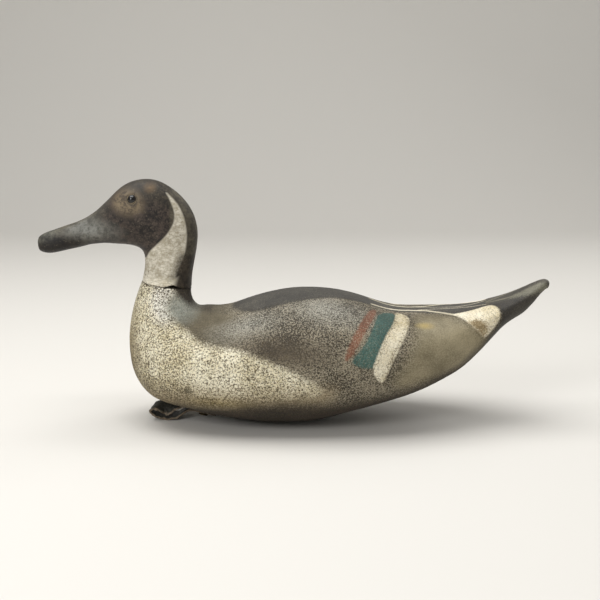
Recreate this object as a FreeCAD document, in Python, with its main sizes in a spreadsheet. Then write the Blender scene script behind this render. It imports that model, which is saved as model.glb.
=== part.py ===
"""Hollow wooden drake pintail decoy that floats, with its ballast strip and its anchor-line loop.

Axes: +X points to the tail, -Y to the bird's left and +Z up. The origin is under the middle of the
decoy, on the surface that it stands on. Sizes are in millimetres and angles in degrees.
"""

import FreeCAD, Part
import math
import os

import Sketcher
from FreeCAD import Placement, Rotation, Vector

SIZES = (
    # the carved wood
    ("hull_length", 376.5, "breast to tail tip"),
    ("hull_breadth", 162, "widest, across the shoulders"),
    ("hull_height", 124.5, "belly to the front of the neck seat"),
    ("head_length", 143, "bill tip to nape"),
    ("head_height", 93, "neck seat to crown"),
    ("head_breadth", 46, "across the cheeks"),
    ("wall", 16, "wood left around the hollow"),
    ("joint_height", 45, "level of the joint between the two halves"),
    ("joint_gap", 0.6, "thickness of the sealant in that joint"),
    # what holds the halves together
    ("nail_radius", 1.2, "body nail shank"),
    ("nail_length", 30, "body nail shank"),
    ("nail_head_radius", 2.6, "body nail head and the hole over it"),
    ("nail_head_height", 1, "body nail head"),
    ("nail_recess", 5, "depth of a nail head below the wood's surface"),
    # what holds the head
    ("neck_screw_radius", 2.5, "shank"),
    ("neck_screw_grip", 36, "length of thread in the neck"),
    ("neck_screw_head_radius", 4.8, "head"),
    ("neck_screw_head_height", 3.2, "head"),
    ("seat_depth", 40, "wood between the washer and the neck"),
    ("washer_radius", 8, "outside"),
    ("washer_thickness", 1.5, "washer"),
    ("washer_clearance", 0.5, "around the washer in its hole"),
    ("dowel_radius", 4, "dowel"),
    ("dowel_length", 44, "dowel, half of it in the neck"),
    ("dowel_offset", 13, "behind the screw"),
    ("dowel_chamfer", 0.8, "dowel ends"),
    ("toe_nail_radius", 1, "toe nail shank"),
    ("toe_nail_length", 34, "toe nail shank"),
    ("toe_nail_head_radius", 1.9, "toe nail head and the hole over it"),
    ("toe_nail_head_height", 0.8, "toe nail head"),
    ("toe_nail_recess", 3, "depth of a toe nail head below the surface"),
    ("toe_nail_rise", 15, "entry above the neck seat"),
    # the eyes
    ("eye_radius", 4.2, "glass ball"),
    ("eye_sink", 2, "centre of the ball below the cheek"),
    ("eye_forward", 27.2, "ahead of the middle of the neck seat"),
    ("eye_rise", 77, "above the middle of the neck seat"),
    ("socket_radius", 5, "hole for the eye and its putty"),
    ("socket_depth", 8, "hole for the eye and its putty"),
    ("eye_wire_radius", 0.5, "shank that the glass is cast on"),
    ("eye_wire_length", 14, "shank, from the middle of the ball"),
    # the ballast
    ("strip_thickness", 3, "lead strip"),
    ("strip_width", 24, "lead strip"),
    ("strip_flat_front", 26, "flat stretch ahead of the origin"),
    ("strip_flat_rear", 6, "flat stretch behind the origin"),
    ("strip_front_bend", 150, "radius of the bend up towards the breast"),
    ("strip_front_length", 37, "bent stretch at the front"),
    ("strip_rear_bend", 120, "radius of the bend up towards the tail"),
    ("strip_rear_length", 53, "bent stretch at the rear"),
    ("strip_screw_radius", 1.6, "shank"),
    ("strip_screw_head_radius", 3.3, "countersunk head"),
    ("strip_screw_head_height", 1.8, "countersunk head"),
    ("strip_screw_length", 14, "whole screw"),
    # the anchor-line loop
    ("strap_thickness", 2.5, "one ply of leather"),
    ("strap_width", 22, "leather"),
    ("loop_radius", 8.5, "outside of the rounded end"),
    ("loop_reach", 25.5, "flexing line to the middle of the rounded end"),
    ("loop_floor_gap", 0.3, "under the loop"),
    ("loop_setback", 51.5, "flexing line behind the front of the breast"),
    ("loop_wood_gap", 0.4, "between the flexing line's leather and the wood"),
    ("tab_length", 22, "nailed ends"),
    ("tab_gap", 1.6, "room for the leather to flex at the nailed ends"),
    ("tack_radius", 1, "shank"),
    ("tack_length", 17, "shank below the head"),
    ("tack_head_radius", 4.2, "head"),
    ("tack_head_height", 1.2, "head"),
    ("tack_spacing", 10.5, "between the two tacks"),
)

# The hull is lofted from the tail tip forward, and its last sections turn up into the neck seat.
# One row to a section: underside x and z, topside x and z, half breadth, the height of the widest
# point as a share of the section, and how square the top is (2 is an ellipse).
HULL_ROWS = (
    (228.5, 117.5, 229, 122.5, 4, 0.5, 2.4),
    (218, 109, 221, 123.5, 11, 0.5, 2.5),
    (204, 95, 206, 116, 19, 0.52, 2.7),
    (187, 84.5, 188.5, 108.5, 27, 0.55, 2.9),
    (169, 65.5, 168.5, 102.5, 37, 0.56, 2.9),
    (146.5, 45, 145.5, 99, 50, 0.56, 2.8),
    (116.5, 29.5, 117, 98, 63, 0.54, 2.6),
    (84, 18, 85.5, 100, 73, 0.52, 2.5),
    (48.5, 8, 50, 111.5, 79, 0.5, 2.3),
    (10.5, 0, 11.5, 116, 81, 0.49, 2.2),
    (-30, 0, -27.5, 110.5, 80, 0.49, 2.2),
    (-66.5, 5, -57.5, 100.5, 77, 0.5, 2.2),
    (-100, 12.5, -76, 99.5, 71, 0.5, 2.2),
    (-126, 21.5, -85, 100, 62, 0.48, 2.1),
    (-142.5, 42, -90, 104.5, 50, 0.46, 2.1),
    (-147.5, 70.5, -92, 110, 37, 0.45, 2.1),
    (-143.5, 100.5, -92.5, 114.5, 28, 0.46, 2.1),
    (-135, 124.5, -92, 118, 24, 0.48, 2.1),
)

# The head carries on from the neck seat, up the neck, over the crown and out to the bill tip.
HEAD_ROWS = (
    (-132.5, 137.5, -89.5, 140, 22, 0.48, 2.1),
    (-133.5, 150.5, -86, 161.5, 21, 0.5, 2.1),
    (-141, 156, -88.5, 182, 22, 0.5, 2.1),
    (-150, 157.5, -101, 200.5, 23, 0.5, 2.1),
    (-159, 158, -122, 213.5, 22.5, 0.5, 2.1),
    (-167, 158.5, -145, 211.5, 20, 0.48, 2.1),
    (-174.5, 158, -161, 199.5, 16.5, 0.45, 2.1),
    (-181.5, 157, -174.5, 187, 13, 0.42, 2.1),
    (-189.5, 155, -187, 179, 11.5, 0.4, 2.1),
    (-201, 152.5, -200.5, 174, 12, 0.38, 2.2),
    (-213, 150, -212.5, 170, 12.5, 0.36, 2.3),
    (-221, 150, -222.5, 164, 11.5, 0.36, 2.3),
    (-224.5, 154, -228, 158, 7, 0.45, 2.2),
)
UNDERSIDE_POWER = 2.2
POINTS_ROUND = 28
SECTIONS_PER_ROW = 2
HOLLOW_FROM, HOLLOW_TO = 6, 14  # rows of the hull between which it is hollow
NAIL_STATIONS = (7, 9, 11, 12.8)  # rows of the hull beside which a body nail stands on each side
OVERRUN = 40  # how far a cutting tool runs past the wood

doc = FreeCAD.newDocument("duck_decoy")
sheet = doc.addObject("Spreadsheet::Sheet", "Sizes")
for line, (alias, value, meaning) in enumerate(SIZES, 1):
    sheet.set(f"A{line}", meaning)
    sheet.set(f"B{line}", str(value))
    sheet.setAlias(f"B{line}", alias)
doc.recompute()


def size(alias):
    return float(sheet.get(alias))


def add(kind, name, expressions=None, place=None):
    """A document object with its sizes bound to the sheet's cells."""
    made = doc.addObject(kind, name)
    made.Label = name
    for prop, text in (expressions or {}).items():
        made.setExpression(prop, text)
    if place:
        made.Placement = place
    return made


def cylinder(name, radius, height, place=None):
    return add("Part::Cylinder", name, {"Radius": radius, "Height": height}, place)


def combined(kind, name, **links):
    """A boolean of other objects. Its faces stay split as they are, because the carved ones are curved."""
    made = add(kind, name)
    for prop, value in links.items():
        setattr(made, prop, value)
    made.Refine = False
    return made


def cut(name, base, tool):
    return combined("Part::Cut", name, Base=base, Tool=tool)


def common(name, base, tool):
    return combined("Part::Common", name, Base=base, Tool=tool)


def fuse(name, pieces):
    return combined("Part::MultiFuse", name, Shapes=pieces)


def group(name, pieces):
    made = add("Part::Compound", name)
    made.Links = pieces
    return made


def aimed(point, direction):
    """A placement at a point, with its own +Z along a direction."""
    return Placement(point, Rotation(Vector(0, 0, 1), direction))


# ---------------------------------------------------------------- the carved lines


def spread(rows, column):
    values = [row[column] for row in rows] + [row[column + 2] for row in rows]
    return min(values), max(values)


def hull_rows():
    """The hull's rows at its real length, breadth and height, with the belly on the ballast strip."""
    low_x, high_x = spread(HULL_ROWS, 0)
    low_z, high_z = spread(HULL_ROWS, 1)
    along = size("hull_length") / (high_x - low_x)
    up = size("hull_height") / (high_z - low_z)
    across = size("hull_breadth") / 2 / max(row[4] for row in HULL_ROWS)
    base = size("strip_thickness")
    made = []
    for belly_x, belly_z, back_x, back_z, half, level, power in HULL_ROWS:
        belly = Vector(belly_x * along, 0, base + (belly_z - low_z) * up)
        back = Vector(back_x * along, 0, base + (back_z - low_z) * up)
        made.append((belly, back, Vector(half * across, level, power)))
    return made


def head_rows(seat):
    """The head's rows at its real size. The first is the neck seat, the hull's own last row."""
    drawn_seat = HULL_ROWS[-1]
    drawn_x = (drawn_seat[0] + drawn_seat[2]) / 2
    drawn_z = (drawn_seat[1] + drawn_seat[3]) / 2
    low_x, high_x = spread(HEAD_ROWS, 0)
    high_z = spread(HEAD_ROWS, 1)[1]
    along = size("head_length") / (high_x - low_x)
    up = size("head_height") / (high_z - drawn_z + 0.75)
    across = size("head_breadth") / 2 / max(row[4] for row in HEAD_ROWS)
    middle = (seat[0] + seat[1]) / 2
    made = [seat]
    for front_x, front_z, rear_x, rear_z, half, level, power in HEAD_ROWS:
        front = middle + Vector((front_x - drawn_x) * along, 0, (front_z - drawn_z) * up)
        rear = middle + Vector((rear_x - drawn_x) * along, 0, (rear_z - drawn_z) * up)
        made.append((front, rear, Vector(half * across, level, power)))
    return made


def fair_line(points):
    curve = Part.BSplineCurve()
    curve.interpolate(Points=points, Parameters=[float(n) for n in range(len(points))])
    return curve


def fair_lines(rows):
    """Smooth curves through the rows' undersides, topsides and forms."""
    return [fair_line(list(column)) for column in zip(*rows)]


def ring_point(lines, station, angle, inset=0):
    """A point on the section at a station: angle -90 is its underside, 90 its topside, 0 the right."""
    belly, back, form = [curve.value(station) for curve in lines]
    upward = (back - belly).normalize()
    belly = belly + upward * inset
    back = back - upward * inset
    half, level, power = form.x - inset, form.y, form.z
    cosine, sine = math.cos(math.radians(angle)), math.sin(math.radians(angle))
    power = power if sine >= 0 else UNDERSIDE_POWER
    reach = (abs(cosine) ** power + abs(sine) ** power) ** (-1 / power)
    rise = level + (1 - level if sine >= 0 else level) * sine * reach
    point = belly + (back - belly) * rise
    return point + Vector(0, half * cosine * reach, 0)


def carved(name, lines, first, last, inset=0):
    """A solid inside one smooth surface through the sections, set in by a wall if asked, with flat ends."""
    count = (last - first) * SECTIONS_PER_ROW
    stations = [first + n / SECTIONS_PER_ROW for n in range(count + 1)]
    angles = [360 * n / POINTS_ROUND - 90 for n in range(POINTS_ROUND + 1)]
    surface = Part.BSplineSurface()
    surface.interpolate([[ring_point(lines, s, a, inset) for a in angles] for s in stations])
    skin = surface.toShape()
    ends = [Part.Face(Part.Wire([edge])) for edge in skin.Edges if not edge.isSeam(skin)]
    shell = Part.makeShell([skin] + ends)
    shell.sewShape()
    solid = Part.makeSolid(Part.Shell(shell.Faces))
    if solid.Volume < 0:
        solid.reverse()
    made = add("Part::Feature", name)
    made.Shape = solid
    return made


def slab(name, base, thickness):
    """A block that covers the whole hull, from one level upward."""
    made = add("Part::Box", name)
    made.setExpression("Length", "Sizes.hull_length * 2")
    made.setExpression("Width", "Sizes.hull_breadth * 2")
    made.setExpression("Height", thickness)
    corner = Vector(-size("hull_length"), -size("hull_breadth"), base)
    made.Placement = Placement(corner, Rotation())
    return made


def wood_span(solid, start, direction):
    """Where a straight line from a point first meets a carved solid."""
    line = Part.makeLine(start, start + direction * 1000)
    inside = solid.Shape.common(line)
    return min((v.Point for v in inside.Vertexes), key=lambda p: (p - start).Length)


# ---------------------------------------------------------------- fasteners


def pin(name, prefix, place):
    """A nail or tack, made of a shank and a flat head, aimed along its own +Z from under its head."""
    shank = cylinder(name + "_shank", f"Sizes.{prefix}_radius", f"Sizes.{prefix}_length")
    head = cylinder(name + "_head", f"Sizes.{prefix}_head_radius", f"Sizes.{prefix}_head_height")
    head.setExpression("Placement.Base.z", f"-Sizes.{prefix}_head_height")
    made = fuse(name, [shank, head])
    made.Placement = place
    return made


def filler_tool(name, prefix, place):
    """The hole over a sunken head, which runs out past the surface."""
    height = size(f"{prefix}_head_height")
    outward = place.multiply(Placement(Vector(0, 0, -height), Rotation(Vector(1, 0, 0), 180)))
    return cylinder(name, f"Sizes.{prefix}_head_radius", str(OVERRUN), outward)


def outline_sketch(body, name, plane, corners):
    """A closed outline of straight lines. Each corner is a pair of expressions from the sheet."""
    sketch = body.newObject("Sketcher::SketchObject", name)
    origin = [f for f in body.Origin.OriginFeatures if f.Role == plane][0]
    sketch.AttachmentSupport = [(origin, "")]
    sketch.MapMode = "FlatFace"
    values = [[float(sheet.evalExpression(text)) for text in corner] for corner in corners]
    count = len(corners)
    for n in range(count):
        start, end = values[n], values[(n + 1) % count]
        sketch.addGeometry(Part.LineSegment(Vector(*start, 0), Vector(*end, 0)))
    for n in range(count):
        sketch.addConstraint(Sketcher.Constraint("Coincident", n, 2, (n + 1) % count, 1))
    for n, corner in enumerate(corners):
        for kind, axis, text, value in zip(("DistanceX", "DistanceY"), (-2, -1), corner, values[n]):
            if text == "0":
                sketch.addConstraint(Sketcher.Constraint("PointOnObject", n, 1, axis))
            else:
                index = sketch.addConstraint(Sketcher.Constraint(kind, -1, 1, n, 1, value))
                sketch.setExpression(f"Constraints[{index}]", text)
    return sketch


def turned(name, corners, place):
    """A piece turned about its own Z axis from half of its outline, drawn in its XZ plane."""
    body = add("PartDesign::Body", name)
    sketch = outline_sketch(body, name + "_outline", "XZ_Plane", corners)
    turn = body.newObject("PartDesign::Revolution", name + "_turned")
    turn.Profile = sketch
    turn.ReferenceAxis = (sketch, ["V_Axis"])
    turn.Angle = 360
    body.Placement = place
    return body


# ---------------------------------------------------------------- the hull


def body_nails(hull, lines):
    """Nails driven up through the lower half into the upper one, in the middle of the wall."""
    level = size("joint_height")
    nails, holes = [], []
    for station in NAIL_STATIONS:
        for side in (-1, 1):
            low, high = -89.0, 0.0
            while high - low > 0.01:
                middle = (low + high) / 2
                if ring_point(lines, station, middle).z < level:
                    low = middle
                else:
                    high = middle
            rim = ring_point(lines, station, low)
            across = side * (rim.y - size("wall") / 2)
            surface = wood_span(hull, Vector(rim.x, across, -OVERRUN), Vector(0, 0, 1))
            depth = size("nail_recess") + size("nail_head_height")
            place = Placement(surface + Vector(0, 0, depth), Rotation())
            number = len(nails) + 1
            nails.append(pin(f"body_nail_{number}", "nail", place))
            holes.append(filler_tool(f"nail_hole_{number}", "nail", place))
    return group("body_nails", nails), fuse("nail_holes", holes)


def neck_joint(seat):
    """The screw, its washer and the dowel that hold the head, square to the neck seat."""
    front, rear, form = seat
    middle = (front + rear) / 2
    backward = (rear - front).normalize()
    upward = Vector(0, 0, 1)
    upward = (upward - backward * upward.dot(backward)).normalize()
    under_washer = middle - upward * (size("seat_depth") + size("washer_thickness"))
    reach = "(Sizes.neck_screw_head_height + Sizes.washer_thickness + Sizes.seat_depth"
    point = reach + " + Sizes.neck_screw_grip)"
    shoulder = reach + " + Sizes.neck_screw_grip * 0.85)"
    screw = turned(
        "neck_screw",
        (
            ("0", "0"),
            ("Sizes.neck_screw_head_radius", "0"),
            ("Sizes.neck_screw_head_radius", "Sizes.neck_screw_head_height"),
            ("Sizes.neck_screw_radius", "Sizes.neck_screw_head_height"),
            ("Sizes.neck_screw_radius", shoulder),
            ("0", point),
        ),
        aimed(under_washer - upward * size("neck_screw_head_height"), upward),
    )
    washer = turned(
        "neck_screw_washer",
        (
            ("Sizes.neck_screw_radius", "0"),
            ("Sizes.washer_radius", "0"),
            ("Sizes.washer_radius", "Sizes.washer_thickness"),
            ("Sizes.neck_screw_radius", "Sizes.washer_thickness"),
        ),
        aimed(under_washer, upward),
    )
    washer_hole = cylinder(
        "washer_hole",
        "Sizes.washer_radius + Sizes.washer_clearance",
        str(OVERRUN),
        aimed(middle - upward * size("seat_depth"), -upward),
    )
    dowel = turned(
        "neck_dowel",
        (
            ("0", "0"),
            ("Sizes.dowel_radius - Sizes.dowel_chamfer", "0"),
            ("Sizes.dowel_radius", "Sizes.dowel_chamfer"),
            ("Sizes.dowel_radius", "Sizes.dowel_length - Sizes.dowel_chamfer"),
            ("Sizes.dowel_radius - Sizes.dowel_chamfer", "Sizes.dowel_length"),
            ("0", "Sizes.dowel_length"),
        ),
        aimed(
            middle + backward * size("dowel_offset") - upward * size("dowel_length") / 2,
            upward,
        ),
    )
    return screw, washer, washer_hole, dowel


def toe_nails(head, seat):
    """Two nails from the sides of the neck down into its seat, clear of the screw."""
    front, rear, form = seat
    middle = (front + rear) / 2
    forward = (front - rear).normalize()
    nails, holes = [], []
    for number, (side, ahead) in enumerate(((-1, 13), (1, 8)), 1):
        start = middle + forward * ahead + Vector(0, side * OVERRUN, size("toe_nail_rise"))
        entry = wood_span(head, start, Vector(0, -side, 0))
        aim = middle + forward * ahead + Vector(0, side * form.x / 4, -size("toe_nail_rise"))
        inward = (aim - entry).normalize()
        place = aimed(entry + inward * (size("toe_nail_recess") + size("toe_nail_head_height")), inward)
        nails.append(pin(f"toe_nail_{number}", "toe_nail", place))
        holes.append(filler_tool(f"toe_nail_hole_{number}", "toe_nail", place))
    return group("neck_nails", nails), fuse("toe_nail_holes", holes)


def eye(side_name, side, head, seat):
    """A glass eye on its wire, bedded in putty in a hole in the cheek."""
    middle = (seat[0] + seat[1]) / 2
    start = middle + Vector(-size("eye_forward"), side * OVERRUN, size("eye_rise"))
    cheek = wood_span(head, start, Vector(0, -side, 0))
    inward = Vector(0, -side, 0)
    ball_middle = cheek + inward * size("eye_sink")
    glass = add("Part::Sphere", side_name + "_eye", {"Radius": "Sizes.eye_radius"})
    glass.Placement = Placement(ball_middle, Rotation())
    wire = cylinder(
        side_name + "_wire_blank",
        "Sizes.eye_wire_radius",
        "Sizes.eye_wire_length",
        aimed(ball_middle, inward),
    )
    shank = cut(side_name + "_eye_wire", wire, glass)
    outside = cheek - inward * OVERRUN / 2
    hole = cylinder(
        side_name + "_socket",
        "Sizes.socket_radius",
        f"Sizes.socket_depth + {OVERRUN / 2}",
        aimed(outside, inward),
    )
    bed = common(side_name + "_bed_blank", head, hole)
    putty = cut(side_name + "_eye_putty", bed, fuse(side_name + "_bed_hole", [glass, wire]))
    return glass, shank, putty, hole, wire


# ---------------------------------------------------------------- ballast and line loop


def strip_blank():
    """A lead strip: flat under the belly, with both ends bent up along it."""
    half = size("strip_width") / 2
    flat = add(
        "Part::Box",
        "strip_flat",
        {
            "Length": "Sizes.strip_flat_front + Sizes.strip_flat_rear",
            "Width": "Sizes.strip_width",
            "Height": "Sizes.strip_thickness",
        },
        Placement(Vector(-size("strip_flat_front"), -half, 0), Rotation()),
    )
    pieces = [flat]
    down = Vector(0, 0, -1)
    for end, way in (("front", -1), ("rear", 1)):
        bend = size(f"strip_{end}_bend")
        centre = Vector(way * size(f"strip_flat_{end}"), way * half, bend)
        along = Vector(way, 0, 0)
        place = Placement(centre, Rotation(down, along, down.cross(along), "ZXY"))
        sweep = f"Sizes.strip_{end}_length / Sizes.strip_{end}_bend * 180 / pi"
        blanks = []
        for layer, depth in (("outer", "0"), ("inner", "Sizes.strip_thickness")):
            blank = cylinder(
                f"strip_{end}_{layer}",
                f"Sizes.strip_{end}_bend - {depth}",
                "Sizes.strip_width",
                place,
            )
            blank.setExpression("Angle", sweep)
            blanks.append(blank)
        pieces.append(cut(f"strip_{end}", *blanks))
    return fuse("strip_blank", pieces)


def strip_screws():
    """Countersunk screws, two in the flat stretch and one square to each bent end."""
    screws = []
    front, rear = size("strip_flat_front"), size("strip_flat_rear")
    for x, end, way in ((-front * 0.8, None, 0), (rear * 0.2, None, 0), (0, "front", -1), (0, "rear", 1)):
        place = Placement(Vector(x, 0, 0), Rotation())
        if end:
            bend = size(f"strip_{end}_bend")
            turn = (size(f"strip_{end}_length") - 9) / bend
            start = way * size(f"strip_flat_{end}")
            foot = Vector(start + way * bend * math.sin(turn), 0, bend * (1 - math.cos(turn)))
            place = aimed(foot, Vector(-way * math.sin(turn), 0, math.cos(turn)))
        number = len(screws) + 1
        cone = add(
            "Part::Cone",
            f"strip_screw_cone_{number}",
            {
                "Radius1": "Sizes.strip_screw_head_radius",
                "Radius2": "Sizes.strip_screw_radius",
                "Height": "Sizes.strip_screw_head_height",
            },
        )
        shank = cylinder(
            f"strip_screw_shank_{number}",
            "Sizes.strip_screw_radius",
            "Sizes.strip_screw_length",
        )
        screw = fuse(f"strip_screw_{number}", [cone, shank])
        screw.Placement = place
        screws.append(screw)
    return group("ballast_screws", screws)


def line_loop(hinge):
    """The free part of the strap: a teardrop loop, round at its far end, on the flexing line."""
    body = add("PartDesign::Body", "line_loop")
    sketch = body.newObject("Sketcher::SketchObject", "line_loop_side")
    plane = [f for f in body.Origin.OriginFeatures if f.Role == "XZ_Plane"][0]
    sketch.AttachmentSupport = [(plane, "")]
    sketch.MapMode = "FlatFace"
    drop = hinge.z - size("loop_radius") - size("loop_floor_gap")
    far = Vector(-math.sqrt(size("loop_reach") ** 2 - drop**2), -drop, 0)
    teardrop(sketch, far, "Sizes.loop_radius", "Sizes.strap_thickness")
    teardrop(sketch, far, "Sizes.loop_radius - Sizes.strap_thickness", None)
    pad = body.newObject("PartDesign::Pad", "line_loop_strap")
    pad.Profile = sketch
    pad.setExpression("Length", "Sizes.strap_width")
    pad.SideType = "Symmetric"
    body.Placement = Placement(hinge, Rotation())
    return body


def teardrop(sketch, far, far_text, near_text):
    """A belt round a far circle and a near one at the origin, or from a point there."""
    far_radius = float(sheet.evalExpression(far_text))
    near_radius = float(sheet.evalExpression(near_text)) if near_text else 0
    forward = far / far.Length
    sideways = Vector(-forward.y, forward.x, 0)
    lean = (far_radius - near_radius) / far.Length
    ends = []
    for side in (1, -1):
        normal = sideways * side * math.sqrt(1 - lean**2) - forward * lean
        ends.append((normal * near_radius, far + normal * far_radius))
    first = sketch.GeometryCount
    sketch.addGeometry(Part.LineSegment(*ends[0]))
    sketch.addGeometry(Part.LineSegment(*ends[1]))
    sketch.addGeometry(Part.Arc(ends[0][1], far + forward * far_radius, ends[1][1]))
    texts = [far_text]
    if near_text:
        sketch.addGeometry(Part.Arc(ends[0][0], -forward * near_radius, ends[1][0]))
        texts.append(near_text)
    tips = [(n, p) for n in range(first, sketch.GeometryCount) for p in (1, 2)]
    while tips:
        tip = tips.pop(0)
        other = min(tips, key=lambda t: (sketch.getPoint(*t) - sketch.getPoint(*tip)).Length)
        tips.remove(other)
        sketch.addConstraint(Sketcher.Constraint("Coincident", *tip, *other))
    for number, text in enumerate(texts, first + 2):
        radius = float(sheet.evalExpression(text))
        index = sketch.addConstraint(Sketcher.Constraint("Radius", number, radius))
        sketch.setExpression(f"Constraints[{index}]", text)


def strap_ends(hull, hinge, slope):
    """Both nailed ends of the strap, one on the other, pressed against the wood."""
    along = Vector(math.cos(slope), 0, -math.sin(slope))
    down = Vector(-math.sin(slope), 0, -math.cos(slope))
    thick = size("strap_thickness")
    start = hinge + along * (thick + size("tab_gap")) + down * thick
    corner = start - Vector(0, size("strap_width") / 2, 0)
    place = Placement(corner, Rotation(Vector(0, 1, 0), math.degrees(slope)))
    blank = add(
        "Part::Box",
        "strap_ends_blank",
        {
            "Length": "Sizes.tab_length",
            "Width": "Sizes.strap_width",
            "Height": "Sizes.strap_thickness * 3",
        },
        place,
    )
    pressed = cut("strap_ends_pressed", blank, hull)
    tacks = []
    for side in (-1, 1):
        foot = start + along * size("tab_length") / 2 + Vector(0, side * size("tack_spacing") / 2, 0)
        tacks.append(pin(f"tack_{len(tacks) + 1}", "tack", aimed(foot, -down)))
    return pressed, group("loop_tacks", tacks)


# ---------------------------------------------------------------- the whole decoy


def keel_at(lines, x):
    """Height and downward slope of the underside's middle line at a place ahead of the belly."""
    low, high = 9.0, 14.0
    while high - low > 1e-5:
        middle = (low + high) / 2
        if lines[0].value(middle).x > x:
            low = middle
        else:
            high = middle
    a, b = lines[0].value(low), lines[0].value(low - 0.1)
    return a.z, math.atan2(a.z - b.z, b.x - a.x)


def build():
    rows = hull_rows()
    hull_lines = fair_lines(rows)
    seat = rows[-1]
    head_lines = fair_lines(head_rows(seat))
    hull = carved("hull_carved", hull_lines, 0, len(rows) - 1)
    hollow = carved("hollow", hull_lines, HOLLOW_FROM, HOLLOW_TO, size("wall"))
    head = carved("head_carved", head_lines, 0, len(HEAD_ROWS))
    shell = cut("hull_shell", hull, hollow)

    level, gap = size("joint_height"), size("joint_gap")
    height = 2 * size("hull_height")
    upper = common("upper_blank", shell, slab("above_joint", level + gap / 2, str(height)))
    lower = common("lower_blank", shell, slab("below_joint", level - gap / 2 - height, str(height)))
    sealed = common("joint_blank", shell, slab("joint_level", level - gap / 2, "Sizes.joint_gap"))

    nails, nail_holes = body_nails(hull, hull_lines)
    screw, washer, washer_hole, dowel = neck_joint(seat)
    toe, toe_holes = toe_nails(head, seat)
    left = eye("left", -1, head, seat)
    right = eye("right", 1, head, seat)
    strip = strip_blank()
    ballast_screws = strip_screws()
    breast = min(belly.x for belly, back, form in rows)
    station = breast + size("loop_setback")
    keel, slope = keel_at(hull_lines, station)
    hinge = Vector(station, 0, keel - size("strap_thickness") - size("loop_wood_gap"))
    loop = line_loop(hinge)
    pressed, tacks = strap_ends(hull, hinge, slope)

    nodes = {
        "body_upper_half": cut(
            "body_upper_half", upper, fuse("upper_tools", [nails, screw, washer_hole, dowel, toe])
        ),
        "body_lower_half": cut(
            "body_lower_half",
            lower,
            fuse("lower_tools", [nails, nail_holes, strip, ballast_screws, tacks]),
        ),
        "joint_sealant": cut("joint_sealant", sealed, nails),
        "head_and_neck": cut(
            "head_and_neck",
            head,
            fuse("head_tools", [screw, dowel, toe, toe_holes, left[3], right[3], left[4], right[4]]),
        ),
        "body_nails": nails,
        "body_nail_putty": common("body_nail_putty", hull, nail_holes),
        "neck_screw": screw,
        "neck_screw_washer": washer,
        "neck_dowel": dowel,
        "neck_nails": toe,
        "neck_nail_putty": common("neck_nail_putty", head, toe_holes),
        "left_eye": left[0],
        "left_eye_wire": left[1],
        "left_eye_putty": left[2],
        "right_eye": right[0],
        "right_eye_wire": right[1],
        "right_eye_putty": right[2],
        "ballast_strip": cut("ballast_strip", strip, ballast_screws),
        "ballast_screws": ballast_screws,
        "line_loop": loop,
        "strap_ends": cut("strap_ends", pressed, tacks),
        "loop_tacks": tacks,
    }
    doc.recompute()
    return nodes


def check_and_write(nodes):
    for made in doc.Objects:
        if {"Invalid", "Error"} & set(made.State):
            raise RuntimeError(f"{made.Name} failed: {made.State}")
    for name, made in nodes.items():
        if made.Shape.isNull() or not made.Shape.isValid() or made.Shape.Volume <= 0:
            raise RuntimeError(f"{name} has no sound shape")
    os.makedirs("parts", exist_ok=True)
    for name, made in nodes.items():
        made.Shape.exportStep(os.path.join("parts", name + ".step"))
        box = made.Shape.BoundBox
        low, high = (box.XMin, box.YMin, box.ZMin), (box.XMax, box.YMax, box.ZMax)
        spans = "  ".join(f"{a:.1f} to {b:.1f}" for a, b in zip(low, high))
        print(f"{name}: {len(made.Shape.Solids)} solid(s), {made.Shape.Volume:.0f} mm3, {spans}")


check_and_write(build())
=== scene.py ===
import itertools
import math

import bmesh
import bpy
import numpy as np
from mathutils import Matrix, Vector


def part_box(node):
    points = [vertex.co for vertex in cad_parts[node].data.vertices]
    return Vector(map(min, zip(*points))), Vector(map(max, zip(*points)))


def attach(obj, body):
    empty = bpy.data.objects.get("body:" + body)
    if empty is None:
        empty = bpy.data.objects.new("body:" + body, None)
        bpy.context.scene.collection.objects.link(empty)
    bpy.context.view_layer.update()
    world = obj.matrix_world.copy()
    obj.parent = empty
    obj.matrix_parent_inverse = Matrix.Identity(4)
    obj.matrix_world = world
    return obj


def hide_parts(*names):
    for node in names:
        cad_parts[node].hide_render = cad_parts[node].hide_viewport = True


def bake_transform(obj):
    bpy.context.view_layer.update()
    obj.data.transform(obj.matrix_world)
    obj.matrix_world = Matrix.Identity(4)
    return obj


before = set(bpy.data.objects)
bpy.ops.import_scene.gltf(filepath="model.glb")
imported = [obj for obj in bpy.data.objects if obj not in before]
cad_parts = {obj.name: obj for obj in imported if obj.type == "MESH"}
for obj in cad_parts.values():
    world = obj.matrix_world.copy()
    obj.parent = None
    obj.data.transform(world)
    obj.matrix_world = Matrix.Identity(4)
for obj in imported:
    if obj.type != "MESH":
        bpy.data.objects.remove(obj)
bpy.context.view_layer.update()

MM = 0.001

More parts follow.
